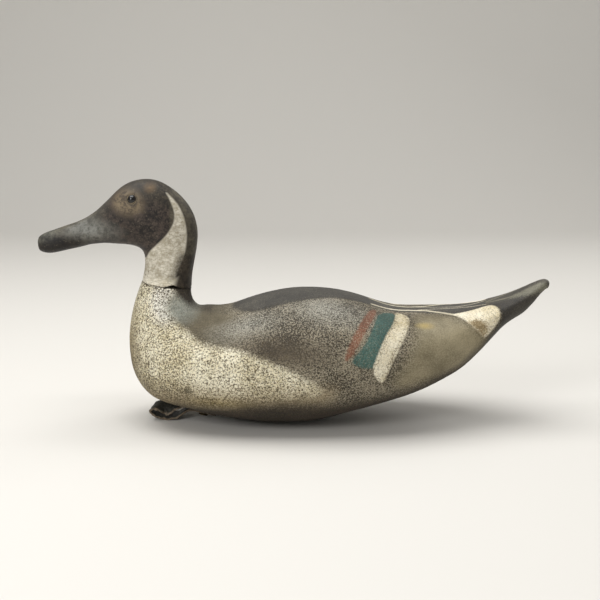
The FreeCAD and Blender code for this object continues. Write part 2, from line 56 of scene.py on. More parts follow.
# Shape ---------------------------------------------------------------------------------------------
# The carved form is a run of sections between an underside line and a topside line. A row holds, in mm,
# the underside's x and z, the topside's x and z, the half breadth, how far up the widest point is (0 to 1)
# and how square the section's upper part is (2 is an ellipse). Its heights start at the belly's lowest point.
HULL_ROWS = (
    (228.5, 117.5, 229, 122.5, 4, 0.5, 2.4),
    (218, 109, 221, 123.5, 11, 0.5, 2.5),
    (204, 95, 206, 116, 19, 0.52, 2.7),
    (187, 84.5, 188.5, 108.5, 27, 0.55, 2.9),
    (169, 65.5, 168.5, 102.5, 37, 0.56, 2.9),
    (146.5, 45, 145.5, 99, 50, 0.56, 2.8),
    (116.5, 29.5, 117, 98, 63, 0.54, 2.6),
    (84, 18, 85.5, 100, 73, 0.52, 2.5),
    (48.5, 8, 50, 111.5, 79, 0.5, 2.3),
    (10.5, 0, 11.5, 116, 81, 0.49, 2.2),
    (-30, 0, -27.5, 110.5, 80, 0.49, 2.2),
    (-66.5, 5, -57.5, 100.5, 77, 0.5, 2.2),
    (-100, 12.5, -76, 99.5, 71, 0.5, 2.2),
    (-126, 21.5, -85, 100, 62, 0.48, 2.1),
    (-142.5, 42, -90, 104.5, 50, 0.46, 2.1),
    (-147.5, 70.5, -92, 110, 37, 0.45, 2.1),
    (-143.5, 100.5, -92.5, 114.5, 28, 0.46, 2.1),
    (-135, 124.5, -92, 118, 24, 0.48, 2.1),
)
HEAD_ROWS = HULL_ROWS[-1:] + (
    (-132.5, 137.5, -89.5, 140, 22, 0.48, 2.1),
    (-133.5, 150.5, -86, 161.5, 21, 0.5, 2.1),
    (-141, 156, -88.5, 182, 22, 0.5, 2.1),
    (-150, 157.5, -101, 200.5, 23, 0.5, 2.1),
    (-159, 158, -122, 213.5, 22.5, 0.5, 2.1),
    (-167, 158.5, -145, 211.5, 20, 0.48, 2.1),
    (-174.5, 158, -161, 199.5, 16.5, 0.45, 2.1),
    (-181.5, 157, -174.5, 187, 13, 0.42, 2.1),
    (-189.5, 155, -187, 179, 11.5, 0.4, 2.1),
    (-201, 152.5, -200.5, 174, 12, 0.38, 2.2),
    (-213, 150, -212.5, 170, 12.5, 0.36, 2.3),
    (-220.5, 150, -222.5, 166, 11.5, 0.38, 2.3),
    (-225, 151.5, -226.5, 162, 8.5, 0.45, 2.2),
)
UNDERSIDE_POWER = 2.2
STRIP_THICKNESS = 3.0
BELLY = STRIP_THICKNESS  # the belly sits on the strip
JOINT_HEIGHT = 45.0
PAINT_BUILD = 0.35  # paint and ground over the wood
WALL = 16.0
HOLLOW_SPAN = (6, 14)  # rows of the hull between which it is hollow
HULL_STEP, HEAD_STEP = 26, 17  # mm from row to row next to the neck seat


def fair(values, at):
    """Cubic spline through values at 0, 1, 2 and so on, whose end spans bend as their neighbours do."""
    values = np.asarray(values, float)
    count = len(values)
    inner = np.arange(1, count - 1)
    system = np.zeros((count, count))
    system[inner, inner - 1] = system[inner, inner + 1] = 1
    system[inner, inner] = 4
    system[0, :3] = system[-1, -3:] = 1, -2, 1
    second = np.zeros_like(values)
    second[inner] = 6 * (values[inner + 1] - 2 * values[inner] + values[inner - 1])
    bend = np.linalg.solve(system, second)
    span = np.clip(np.floor(at).astype(int), 0, count - 2)
    late = (at - span)[:, None]
    early = 1 - late
    bent = (early**3 - early) * bend[span] + (late**3 - late) * bend[span + 1]
    return early * values[span] + late * values[span + 1] + bent / 6


def sections(rows, stations, around, inset=0.0):
    """Sections of a carved form in mm, one for each station.

    Round a section, the angle runs from its underside (-90 degrees) through the right (0) and the topside
    (90) back to the underside. A point is reach * (cos, sin), where |reach cos|^p + |reach sin|^p = 1 makes
    a squared ellipse, laid between the underside and the topside.
    """
    line = fair(rows, stations)
    low = np.stack([line[:, 0], line[:, 1] + BELLY], -1)
    high = np.stack([line[:, 2], line[:, 3] + BELLY], -1)
    upward = (high - low) / np.linalg.norm(high - low, axis=1, keepdims=True)
    low, high = low + upward * inset, high - upward * inset
    half, level, power = line[:, 4:5] - inset, line[:, 5:6], line[:, 6:7]
    angle = np.radians(np.linspace(-90, 270, around, endpoint=False))[None, :]
    cosine, sine = np.cos(angle), np.sin(angle)
    power = np.where(sine >= 0, power, UNDERSIDE_POWER)
    reach = (np.abs(cosine) ** power + np.abs(sine) ** power) ** (-1 / power)
    rise = level + np.where(sine >= 0, 1 - level, level) * sine * reach
    flat = low[:, None, :] + (high - low)[:, None, :] * rise[..., None]
    return np.stack([flat[..., 0], half * cosine * reach, flat[..., 1]], -1)


def girth(grid):
    """Length along each section from the topside's middle line, the same to both sides, in mm."""
    around = grid.shape[1]
    turned = np.roll(grid, -(around // 2), axis=1)
    steps = np.linalg.norm(np.diff(turned, axis=1, append=turned[:, :1]), axis=-1)
    one_way = np.concatenate([np.zeros((len(grid), 1)), np.cumsum(steps, axis=1)[:, :-1]], axis=1)
    both = np.minimum(one_way, steps.sum(axis=1, keepdims=True) - one_way)
    return np.roll(both, around // 2, axis=1)


def lumps(points, across, seed):
    """Smooth unevenness, -1 to 1: random heights at the corners of cubes this far across, eased between."""
    heights = np.random.default_rng(seed).uniform(-1, 1, (64, 64, 64))
    cell = points / across
    corner = np.floor(cell).astype(int)
    part = cell - corner
    part = part * part * (3 - 2 * part)
    total = np.zeros(points.shape[:-1])
    for step in itertools.product((0, 1), repeat=3):
        weight = np.prod(np.where(step, part, 1 - part), axis=-1)
        a, b, c = np.moveaxis((corner + step) % 64, -1, 0)
        total += weight * heights[a, b, c]
    return total


def outward(grid):
    """Unit normals of a grid whose rings run round a form, pointing out of it."""
    along = np.gradient(grid, axis=0)
    padded = np.concatenate([grid[:, -1:], grid, grid[:, :1]], axis=1)
    around = (padded[:, 2:] - padded[:, :-2]) / 2
    normal = np.cross(along, around)
    normal /= np.linalg.norm(normal, axis=-1, keepdims=True) + 1e-12
    middle = grid.mean(axis=1, keepdims=True)
    facing = np.sign(((grid - middle) * normal).sum(axis=(1, 2), keepdims=True))
    return normal * facing


def rounded_end(ring, direction, depth, rings=6):
    """Rings that close an end: the last ring shrinks by a cosine while it moves out by depth times a sine."""
    turn = np.linspace(0, math.pi / 2, rings + 1)[1:, None, None]
    middle = ring.mean(axis=0)
    moved = np.asarray(direction)[None, None] * depth * np.sin(turn)
    return middle + (ring - middle)[None] * np.cos(turn) + moved


def flat_end(ring, edge, rings=5):
    """Rings that close an end flat: the last ring, less edge mm all round, shrinks evenly to a point."""
    middle = ring.mean(axis=0)
    span = np.linalg.norm(ring - middle, axis=1, keepdims=True)
    share = np.linspace(1, 0, rings + 1)[1:, None, None]
    return middle + (ring - middle)[None] * (1 - edge / span)[None] * share


def drawn_in(grid, from_seat, reach):
    """Rings drawn in by 2.8 % where they meet the neck seat, fading as a bell curve over reach mm from it."""
    middle = grid.mean(axis=1, keepdims=True)
    return middle + (grid - middle) * (1 - 0.028 * np.exp(-((from_seat / reach) ** 2)))


def mesh_from(name, vertices, faces):
    """A smooth shaded piece at the origin, from vertices in mm and lists of their numbers."""
    mesh = bpy.data.meshes.new(name)
    mesh.from_pydata((vertices * MM).tolist(), [], faces)
    mesh.validate()
    mesh.shade_smooth()
    piece = bpy.data.objects.new(name, mesh)
    bpy.context.scene.collection.objects.link(piece)
    return piece


def ring_faces(rings, around):
    """Quads between rings of a closed form. The first and last rings are closed by a fan to a point each."""
    ring, place = np.meshgrid(np.arange(rings - 1), np.arange(around), indexing="ij")
    after = (place + 1) % around
    quads = np.stack([ring * around + place, (ring + 1) * around + place,
                      (ring + 1) * around + after, ring * around + after], -1).reshape(-1, 4)
    here = np.arange(around)
    there = (here + 1) % around
    first = np.stack([np.full(around, rings * around), here, there], -1)
    base = (rings - 1) * around
    last = np.stack([np.full(around, rings * around + 1), base + there, base + here], -1)
    return quads.tolist() + first.tolist() + last.tolist()


def closed_form(name, grid):
    """A piece from a grid of rings with a point at each end, its faces turned outwards."""
    rings, around = grid.shape[:2]
    ends = np.stack([grid[0].mean(axis=0), grid[-1].mean(axis=0)])
    vertices = np.concatenate([grid.reshape(-1, 3), ends])
    piece = mesh_from(name, vertices, ring_faces(rings, around))
    shape = bmesh.new()
    shape.from_mesh(piece.data)
    if shape.calc_volume(signed=True) < 0:
        bmesh.ops.reverse_faces(shape, faces=shape.faces)
    shape.to_mesh(piece.data)
    shape.free()
    return piece


def give(piece, **fields):
    """Stores values, one for each vertex, as the piece's own attributes."""
    for name, values in fields.items():
        layer = piece.data.attributes.new(name, "FLOAT", "POINT")
        layer.data.foreach_set("value", np.asarray(values, np.float32).ravel())


def read(piece, name=None):
    """The piece's vertices in mm, or one of its attributes."""
    count = len(piece.data.vertices)
    if name:
        values = np.empty(count, np.float32)
        piece.data.attributes[name].data.foreach_get("value", values)
        return values.astype(float)
    values = np.empty(count * 3, np.float32)
    piece.data.vertices.foreach_get("co", values)
    return values.reshape(-1, 3).astype(float) / MM


# Painted outlines ----------------------------------------------------------------------------------
# On the hull they are drawn with a tape: x along the body, and the girth down from the back's middle, which
# is below 0 where an outline closes over the back. On the head, the breast and the foot of the nape they are
# drawn from the side: x and the height z. All in mm, both sides alike.
RUST_BAR = ((66, 36), (72, 28), (72, 38), (68, 52), (62, 68), (52, 90), (44, 101), (43, 95), (50, 78),
            (60, 54))
TEAL_BAR = ((75, 33), (90, 23), (88, 52), (80, 68), (73, 86), (70, 98), (60, 102), (49, 101), (50, 96),
            (58, 86), (67, 66))
WHITE_BAR = ((89, 34), (89.5, 22), (95, 22), (100.5, 30), (101, 42), (97.5, 57), (91, 73), (83, 91),
             (76, 110), (72, 110), (66, 101), (71, 86), (78, 68), (85, 52))
VENT = ((138, 25), (157, 18), (172, 13), (177, 17), (182, 32), (179, 39), (167, 54), (163, 50), (153, 43),
        (146, 33))
MANTLE = ((-56, 0), (-54, 14), (-47, 31), (-33, 42), (-18, 41), (0, 38), (23, 31), (50, 24), (80, 19),
          (104, 15), (128, 20), (142, 26), (172, 15), (180, 0), (172, -15), (142, -26), (104, -15), (23, -31),
          (-18, -41), (-47, -31))
FLANK = ((106, 22), (130, 26), (146, 37), (153, 47), (166, 58), (160, 78), (135, 96), (108, 106), (88, 112),
         (86, 102), (96, 86), (104, 66))
FEATHER_LINE = ((70, 15), (82, 12), (103, 8), (118, 10), (131, 19), (145, 29))
INNER_LINE = ((112, 6), (128, 4), (145, 3), (163, 5), (176, 9))
TAIL_LINE = ((174, 2), (187, 7), (203, 11))
TAIL = ((176, -40), (172, 12), (178, 20), (183, 34), (180, 42), (168, 56), (160, 90), (240, 90), (240, -40))
CREAM = ((-160, 138), (-104, 138), (-104, 123), (-108, 112), (-109, 104), (-101, 97), (-94, 91), (-84, 86),
         (-76, 82), (-62, 80), (-46, 79), (-34, 75), (-22, 71), (-8, 65), (4, 59), (16, 53), (26, 45),
         (20, 38), (0, 35), (-20, 34), (-44, 31), (-66, 26), (-90, 18), (-110, 12), (-160, 12))
NAPE_FOOT = ((-106, 140), (-104.5, 124), (-101, 116), (-94, 109), (-86, 104), (-78, 102), (-72, 102),
             (-76, 140))
SEAT_FRONT = (-135.0, 127.5)  # x and z of the neck seat's front edge
SEAT_FALL = 0.151  # mm that the seat falls for each mm towards the tail
SEAT_BACK = -88  # x behind which the hull lies clear of the seat
# Chips in the paint at the neck seat, on the bird's left: x, z and radius.
CHIPS = ((-137, 120, 0.6), (-134, 117, 0.9), (-130, 119.5, 0.5), (-126.5, 121, 0.7), (-123, 117, 1.2),
         (-120.5, 113.5, 0.6), (-134, 110, 0.5), (-138, 113, 0.5), (-129, 108, 0.4), (-110, 121.4, 0.9),
         (-105.5, 119.6, 0.8), (-114, 122.3, 0.7), (-106, 98, 0.9), (-131, 92, 0.5), (-113, 90, 0.4),
         (-127, 100, 0.3), (-118, 121, 0.5))
NECK_WHITE = ((-113, 209), (-108, 201), (-104, 191), (-104, 183), (-107, 176), (-113, 168), (-122, 160),
              (-127, 155), (-131, 148), (-150, 146), (-150, 110), (-106, 118), (-104.5, 130), (-100, 142),
              (-96, 152), (-94, 162), (-93.5, 172), (-95, 182), (-98, 191), (-103, 199))
BILL = ((-162, 206), (-164, 196), (-167, 187), (-170, 178), (-171, 168), (-169, 150), (-240, 130),
        (-240, 210))
EYE_PATCH = ((-156, 206), (-146, 211), (-136, 208), (-130, 200), (-131, 190), (-142, 187), (-154, 190),
             (-160, 198))
BILL_SHADE = ((-226, 162), (-219, 166), (-208, 168.5), (-196, 167), (-185, 163), (-165, 165), (-150, 165))
HEAD_CHIPS = ((-134, 126.5, 0.8), (-129, 126, 0.5), (-124, 125.5, 0.7), (-118, 125, 0.6), (-112, 124.5, 0.9),
              (-107, 124, 1.2), (-131, 134, 0.4), (-104, 176, 0.5), (-99, 170, 0.4), (-121, 149, 0.3))
CROWN_SPOT = ((-130, 214), (-122, 214), (-121, 209), (-128, 208))
UNDERSIDE_LEVELS = ((-150, 14), (-126, 19), (-84, 26), (-40, 31), (0, 33), (40, 31), (80, 35), (116, 45),
                    (146, 60), (169, 80), (187, 97), (229, 125))
AWAY = -9.0  # what a mask holds where its patch is nowhere near


def softened(outline, times=1):
    """The outline with its corners cut at a quarter and three quarters of each side, a few times over."""
    corners = np.asarray(outline, float)
    for _ in range(times):
        after = np.roll(corners, -1, axis=0)
        corners = np.stack([0.75 * corners + 0.25 * after, 0.25 * corners + 0.75 * after], 1).reshape(-1, 2)
    return corners


def reach_from(starts, ends, across, along):
    """Distance from each point to the nearest of some straight spans."""
    spans = ends - starts
    best = np.full(across.shape, 1e9)
    for (x, z), (dx, dz) in zip(starts, spans):
        share = np.clip(((across - x) * dx + (along - z) * dz) / (dx * dx + dz * dz + 1e-9), 0, 1)
        best = np.minimum(best, np.hypot(across - x - share * dx, along - z - share * dz))
    return best


def within(outline, across, along):
    """Distance in mm to a closed outline, positive inside it: the sign changes at each side crossed."""
    starts = softened(outline)
    ends = np.roll(starts, -1, axis=0)
    crossed = np.zeros(across.shape, bool)
    for (x, z), (end_x, end_z) in zip(starts, ends):
        level = (z > along) != (end_z > along)
        slope = (end_x - x) / (end_z - z) if end_z != z else 0.0
        crossed ^= level & (across < x + (along - z) * slope)
    return np.where(crossed, 1, -1) * reach_from(starts, ends, across, along)


def brushed_line(points, half_width, across, along):
    """Distance to a brushed line, positive inside its half width."""
    corners = np.asarray(points, float)
    return half_width - reach_from(corners[:-1], corners[1:], across, along)


def near(across, along, at, radii):
    """Distance from the edge of an oval patch, near enough, positive inside it."""
    return (1 - np.hypot((across - at[0]) / radii[0], (along - at[1]) / radii[1])) * min(radii)


def chipped(chips, x, y, z):
    """Distance from the edge of the nearest chip, positive inside it: wide ovals, on the bird's left only."""
    reaches = [radius - np.hypot(x - at_x, (z - at_z) * 1.3) for at_x, at_z, radius in chips]
    return np.where(y < 0, np.maximum.reduce(reaches), AWAY)


def above_seat(x, z):
    """Height in mm over the plane that the neck sits on."""
    return z - SEAT_FRONT[1] + SEAT_FALL * (x - SEAT_FRONT[0])


# Materials -----------------------------------------------------------------------------------------
FACTOR, FIRST, SECOND, MIXED = 0, 6, 7, 2  # sockets of a colour Mix node
# Sockets 0 to 4 of a Map Range node are its value, from min, from max, to min and to max.


def tint(code):
    """An sRGB hex colour as linear red, green, blue and alpha."""
    parts = [int(code[i:i + 2], 16) / 255 for i in (0, 2, 4)]
    return tuple(c / 12.92 if c <= 0.04045 else ((c + 0.055) / 1.055) ** 2.4 for c in parts) + (1.0,)


def add(nodes, kind, sockets=None, **settings):
    """Adds a node, sets its properties, and fills its sockets with values or links."""
    made = nodes.new(kind)
    for name, value in settings.items():
        setattr(made, name, value)
    for place, value in (sockets or {}).items():
        if isinstance(value, bpy.types.NodeSocket):
            nodes.id_data.links.new(value, made.inputs[place])
        else:
            made.inputs[place].default_value = value
    return made


def begin(name):
    """A new material and its empty node tree."""
    material = bpy.data.materials.new(name)
    material.use_nodes = True
    material.node_tree.nodes.clear()
    return material, material.node_tree.nodes


def size(mm):
    """The scale of a pattern whose features are this many mm across."""
    return 1 / (mm * MM)


# name of the mask, colour, its darker shade, softness and raggedness of its edge in mm, share worn off,
# and how much of its shading is grit (the rest is cloud)
HULL_PATCHES = (
    ("shoulder", "675f4c", "464032", 4, 8, 0.1, 0.55),
    ("pale_side", "b0ada0", "47433b", 11, 14, 0.1, 0.9),
    ("dusk_side", "675d4d", "3f382e", 7, 9, 0.1, 0.8),
    ("flank", "988e73", "5f563f", 7, 9, 0.05, 0.35),
    ("flank_glow", "a1967a", "7d7359", 6, 10, 0.1, 0.4),
    ("mantle", "45423b", "272521", 2.4, 6, 0.16, 0.6),
    ("cream", "f4eed8", "d3c59d", 1.7, 15, 0.04, 0.5),
    ("pale_top", "f7f3e8", "ded7c4", 4, 9, 0.04, 0.5),
    # brown_front: painted shade along the breast's front edge, where it turns away
    ("brown_front", "a8976f", "7c6c4c", 7, 10, 0.2, 0.6),
    # low_breast: painted shade on the lower breast, where it turns under
    ("low_breast", "b3a383", "7a6c52", 12, 16, 0.1, 0.6),
    ("ochre", "a8976a", "7f7049", 4, 11, 0.3, 0.6),
    # underside: the dark bottom paint, made darker still as painted shade under the belly
    ("underside", "453b2f", "231e17", 7, 14, 0.1, 0.7),
    ("blue_grey", "b0b2a6", "7a7c72", 5, 11, 0.3, 0.6),
    ("rust", "8e5b43", "5e4437", 1.0, 4.5, 0.34, 0.6),
    ("teal", "4a6a62", "28443f", 0.9, 3.5, 0.2, 0.6),
    ("white", "ece6d3", "c4b591", 0.7, 2.5, 0.06, 0.4),
    ("lines", "ded6bf", "a89e82", 0.6, 2.2, 0.1, 0.6),
    ("tail", "4a463d", "25221e", 2, 4, 0.12, 0.45),
    ("tail_lines", "8f8a74", "5d5847", 0.9, 3, 0.3, 0.4),
    ("vent", "f6f0df", "d8caa6", 0.8, 3, 0.04, 0.4),
    ("nape", "4b4338", "2a2620", 2.0, 5, 0.1, 0.5),
    # a painted highlight on the flank: a small pale yellowish spot
    ("painted_highlight_spot", "ac985f", "8a7b52", 3, 5, 0.0, 0.3),
    ("scuffs", "8b8876", "4b493e", 1.5, 12, 0.4, 0.5),
    ("vent_stain", "b5a37c", "7d6a4c", 2.0, 9, 0.2, 0.6),
    ("scar", "b0a78c", "6f6650", 1.2, 6, 0.1, 0.6),
    ("chips", "3a332a", "1c1915", 0.5, 6, 0.0, 0.6),
)


# All in mm. The real grit is about 0.5 mm across. It's drawn coarser, so that it shows.
GRIT, DUST, CRAZING = 1.15, 1.3, 2.9


def granular_oil_paint():
    """Old oil paint over a sanded ground on cedar: matt and rough, pits full of dirt, crests worn pale.

    Each patch of colour covers what was laid before it. Its edge is where its mask, roughened with the dust,
    passes zero, and the grit shows through where it's worn. Dirt in the pits and in fine crazing comes last.
    """
    material, nodes = begin("granular_oil_paint")
    place = add(nodes, "ShaderNodeTexCoord").outputs["Object"]
    cloud = add(nodes, "ShaderNodeTexNoise",
                {"Vector": place, "Scale": size(38), "Detail": 6.0, "Roughness": 0.62}).outputs[0]
    grit = add(nodes, "ShaderNodeTexNoise",
               {"Vector": place, "Scale": size(GRIT), "Detail": 2.0, "Roughness": 0.6}).outputs[0]
    dust = add(nodes, "ShaderNodeTexNoise",
               {"Vector": place, "Scale": size(DUST), "Detail": 2.0, "Roughness": 0.6,
                "Distortion": 0.6}).outputs[0]
    patchy = add(nodes, "ShaderNodeMapRange", {0: cloud, 1: 0.35, 2: 0.65, 3: -0.06, 4: 0.06}).outputs[0]
    graded = add(nodes, "ShaderNodeMath", {0: grit, 1: patchy}, operation="ADD").outputs[0]
    light = add(nodes, "ShaderNodeMapRange", {0: graded, 1: 0.43, 2: 0.58, 3: 0.0, 4: 1.0}).outputs[0]
    colour = add(nodes, "ShaderNodeMix", {FACTOR: light, FIRST: tint("302b23"), SECOND: tint("988f7b")},
                 data_type="RGBA").outputs[MIXED]
    ragged = add(nodes, "ShaderNodeMath", {0: dust, 1: 0.5}, operation="SUBTRACT").outputs[0]
    cloudy = add(nodes, "ShaderNodeMapRange", {0: cloud, 1: 0.66, 2: 0.34, 3: 0.0, 4: 1.0}).outputs[0]
    gritty = add(nodes, "ShaderNodeMapRange", {0: graded, 1: 0.6, 2: 0.4, 3: 0.0, 4: 1.0}).outputs[0]
    for name, bright, dark, soft, rag, worn, grittiness in HULL_PATCHES:
        mask = add(nodes, "ShaderNodeAttribute", attribute_name=name).outputs["Fac"]
        edge = add(nodes, "ShaderNodeMath", {0: ragged, 1: float(rag), 2: mask},
                   operation="MULTIPLY_ADD").outputs[0]
        cover = add(nodes, "ShaderNodeMapRange",
                    {0: edge, 1: -float(soft), 2: float(soft), 3: 0.0, 4: 1.0}).outputs[0]
        crest = 0.66 - 0.3 * worn
        bare = add(nodes, "ShaderNodeMapRange",
                   {0: graded, 1: crest, 2: crest + 0.08, 3: 1.0, 4: 1.0 - 2 * worn}).outputs[0]
        kept = add(nodes, "ShaderNodeMath", {0: cover, 1: bare}, operation="MULTIPLY").outputs[0]
        shade = add(nodes, "ShaderNodeMix", {FACTOR: float(grittiness), 2: cloudy, 3: gritty}).outputs[0]
        paint = add(nodes, "ShaderNodeMix", {FACTOR: shade, FIRST: tint(bright), SECOND: tint(dark)},
                    data_type="RGBA").outputs[MIXED]
        colour = add(nodes, "ShaderNodeMix", {FACTOR: kept, FIRST: colour, SECOND: paint},
                     data_type="RGBA").outputs[MIXED]
    dirt = add(nodes, "ShaderNodeAttribute", attribute_name="pits").outputs["Fac"]
    pocked = add(nodes, "ShaderNodeMath", {0: dirt, 1: 0.14, 2: dust}, operation="MULTIPLY_ADD").outputs[0]
    uneven = add(nodes, "ShaderNodeMath", {0: pocked, 1: patchy}, operation="SUBTRACT").outputs[0]
    holes = add(nodes, "ShaderNodeMapRange", {0: uneven, 1: 0.62, 2: 0.76, 3: 0.0, 4: 0.9}).outputs[0]
    filled = add(nodes, "ShaderNodeMath", {0: dirt, 1: 1.4}, operation="MULTIPLY", use_clamp=True).outputs[0]
    dirty = add(nodes, "ShaderNodeMath", {0: holes, 1: filled}, operation="MULTIPLY").outputs[0]
    colour = add(nodes, "ShaderNodeMix", {FACTOR: dirty, FIRST: colour, SECOND: tint("4c4233")},
                 data_type="RGBA").outputs[MIXED]
    bend = add(nodes, "ShaderNodeTexNoise", {"Vector": place, "Scale": size(3), "Detail": 2.0}).outputs[1]
    bent = add(nodes, "ShaderNodeVectorMath", {0: bend, 1: (3 * MM,) * 3, 2: place},
               operation="MULTIPLY_ADD").outputs[0]
    cells = add(nodes, "ShaderNodeTexVoronoi", {"Vector": bent, "Scale": size(CRAZING)},
                feature="DISTANCE_TO_EDGE").outputs["Distance"]
    crack = add(nodes, "ShaderNodeMapRange", {0: cells, 1: 0.03, 2: 0.13, 3: 1.0, 4: 0.0}).outputs[0]
    broken = add(nodes, "ShaderNodeMath", {0: crack, 1: filled}, operation="MULTIPLY").outputs[0]
    gaps = add(nodes, "ShaderNodeMapRange", {0: dust, 1: 0.42, 2: 0.54, 3: 0.0, 4: 0.95}).outputs[0]
    faint = add(nodes, "ShaderNodeMath", {0: broken, 1: gaps}, operation="MULTIPLY").outputs[0]
    colour = add(nodes, "ShaderNodeMix", {FACTOR: faint, FIRST: colour, SECOND: tint("54482f")},
                 data_type="RGBA").outputs[MIXED]
    coarse = add(nodes, "ShaderNodeAttribute", attribute_name="grain").outputs["Fac"]
    raised = add(nodes, "ShaderNodeMath", {0: dirty, 1: -0.8, 2: grit}, operation="MULTIPLY_ADD").outputs[0]
    height = add(nodes, "ShaderNodeMath", {0: broken, 1: -0.5, 2: raised},
                 operation="MULTIPLY_ADD").outputs[0]
    relief = add(nodes, "ShaderNodeMath", {0: height, 1: coarse}, operation="MULTIPLY").outputs[0]
    bump = add(nodes, "ShaderNodeBump", {"Height": relief, "Distance": 0.9 * MM, "Strength": 0.8}).outputs[0]
    gloss = add(nodes, "ShaderNodeMapRange", {0: coarse, 1: 0.2, 2: 1.0, 3: 0.62, 4: 0.85}).outputs[0]
    paint = add(nodes, "ShaderNodeBsdfPrincipled",
                {"Base Color": colour, "Roughness": gloss, "IOR": 1.48, "Normal": bump})
    add(nodes, "ShaderNodeOutputMaterial", {"Surface": paint.outputs[0]})
    return material


# name of the mask, colour, its darker shade, and softness and raggedness of its edge in mm
HEAD_PATCHES = (
    ("crown", "3d362b", "201c17", 6, 18),
    ("eye_patch", "7b6c55", "453b2f", 3, 32),
    ("crown_spot", "6d573a", "4b3d2c", 3, 12),
    ("bill", "545046", "39352f", 7, 14),
    # bill_sheen: a painted sheen, a highlight along the upper side of the bill
    ("bill_sheen", "82827c", "52514b", 6, 14),
    ("bill_top", "5d5746", "3f3a2f", 4, 12),
    ("bill_tip", "626055", "37362f", 5, 16),
    # bill_under: painted shade under the bill
    ("bill_under", "241f1a", "14110f", 4, 10),
    ("nape", "575143", "37322a", 1.2, 2.5),
    ("neck_white", "d0cabb", "a39b88", 0.7, 2),
    ("nape_base", "453d33", "29241e", 4, 8),
    ("collar", "e9e4d5", "cbc2ac", 3, 6),
    ("lid", "2f2923", "1c1814", 0.5, 1),
    ("chips", "352e26", "1c1915", 0.5, 5),
)


def satin_oil_paint():
    """Hand-rubbed oil paint on smooth wood: satin, clouded with handling, with tan wear and fine speckles.

    The patches are laid as on the hull, and the white of the neck is crazed.
    """
    material, nodes = begin("satin_oil_paint")
    place = add(nodes, "ShaderNodeTexCoord").outputs["Object"]
    cloud = add(nodes, "ShaderNodeTexNoise",
                {"Vector": place, "Scale": size(6.5), "Detail": 6.0, "Roughness": 0.85}).outputs[0]
    fleck = add(nodes, "ShaderNodeTexNoise",
                {"Vector": place, "Scale": size(1.6), "Detail": 3.0, "Roughness": 0.7}).outputs[0]
    shade = add(nodes, "ShaderNodeMapRange", {0: cloud, 1: 0.42, 2: 0.58, 3: 0.0, 4: 1.0}).outputs[0]
    colour = add(nodes, "ShaderNodeMix", {FACTOR: shade, FIRST: tint("463c35"), SECOND: tint("171311")},
                 data_type="RGBA").outputs[MIXED]
    ragged = add(nodes, "ShaderNodeMath", {0: cloud, 1: 0.5}, operation="SUBTRACT").outputs[0]
    for name, bright, dark, soft, rag in HEAD_PATCHES:
        mask = add(nodes, "ShaderNodeAttribute", attribute_name=name).outputs["Fac"]
        edge = add(nodes, "ShaderNodeMath", {0: ragged, 1: float(rag), 2: mask},
                   operation="MULTIPLY_ADD").outputs[0]
        cover = add(nodes, "ShaderNodeMapRange",
                    {0: edge, 1: -float(soft), 2: float(soft), 3: 0.0, 4: 1.0}).outputs[0]
        paint = add(nodes, "ShaderNodeMix", {FACTOR: shade, FIRST: tint(bright), SECOND: tint(dark)},
                    data_type="RGBA").outputs[MIXED]
        colour = add(nodes, "ShaderNodeMix", {FACTOR: cover, FIRST: colour, SECOND: paint},
                     data_type="RGBA").outputs[MIXED]
    speckled = add(nodes, "ShaderNodeAttribute", attribute_name="speckles").outputs["Fac"]
    dots = add(nodes, "ShaderNodeMapRange", {0: fleck, 1: 0.58, 2: 0.68, 3: 0.0, 4: 1.0}).outputs[0]
    dotted = add(nodes, "ShaderNodeMath", {0: dots, 1: speckled}, operation="MULTIPLY").outputs[0]
    colour = add(nodes, "ShaderNodeMix", {FACTOR: dotted, FIRST: colour, SECOND: tint("3f382e")},
                 data_type="RGBA").outputs[MIXED]
    scuff = add(nodes, "ShaderNodeMapRange", {0: fleck, 1: 0.4, 2: 0.3, 3: 0.0, 4: 0.4}).outputs[0]
    colour = add(nodes, "ShaderNodeMix", {FACTOR: scuff, FIRST: colour, SECOND: tint("857b68")},
                 data_type="RGBA").outputs[MIXED]
    crazed = add(nodes, "ShaderNodeTexNoise", {"Vector": place, "Scale": size(5), "Detail": 2.0}).outputs[1]
    bent = add(nodes, "ShaderNodeVectorMath", {0: crazed, 1: (4 * MM,) * 3, 2: place},
               operation="MULTIPLY_ADD").outputs[0]
    flat = add(nodes, "ShaderNodeMapping", {"Vector": bent, "Scale": (0.5, 0.5, 1.6)}).outputs[0]
    cells = add(nodes, "ShaderNodeTexVoronoi", {"Vector": flat, "Scale": size(4.2)},
                feature="DISTANCE_TO_EDGE").outputs["Distance"]
    crack = add(nodes, "ShaderNodeMapRange", {0: cells, 1: 0.03, 2: 0.11, 3: 1.0, 4: 0.0}).outputs[0]
    white = add(nodes, "ShaderNodeAttribute", attribute_name="neck_white").outputs["Fac"]
    on_white = add(nodes, "ShaderNodeMapRange", {0: white, 1: 0.0, 2: 2.0, 3: 0.0, 4: 1.0}).outputs[0]
    broken = add(nodes, "ShaderNodeMath", {0: crack, 1: on_white}, operation="MULTIPLY").outputs[0]
    faint = add(nodes, "ShaderNodeMath", {0: broken, 1: 0.4}, operation="MULTIPLY").outputs[0]
    colour = add(nodes, "ShaderNodeMix", {FACTOR: faint, FIRST: colour, SECOND: tint("857c68")},
                 data_type="RGBA").outputs[MIXED]
    rough = add(nodes, "ShaderNodeMapRange", {0: on_white, 1: 0.0, 2: 1.0, 3: 0.58, 4: 0.75}).outputs[0]
    height = add(nodes, "ShaderNodeMath", {0: broken, 1: -0.6, 2: fleck}, operation="MULTIPLY_ADD").outputs[0]
    bump = add(nodes, "ShaderNodeBump", {"Height": height, "Distance": 0.35 * MM, "Strength": 0.6}).outputs[0]
    paint = add(nodes, "ShaderNodeBsdfPrincipled",
                {"Base Color": colour, "Roughness": rough, "IOR": 1.5, "Specular IOR Level": 0.3,
                 "Normal": bump})
    add(nodes, "ShaderNodeOutputMaterial", {"Surface": paint.outputs[0]})
    return material


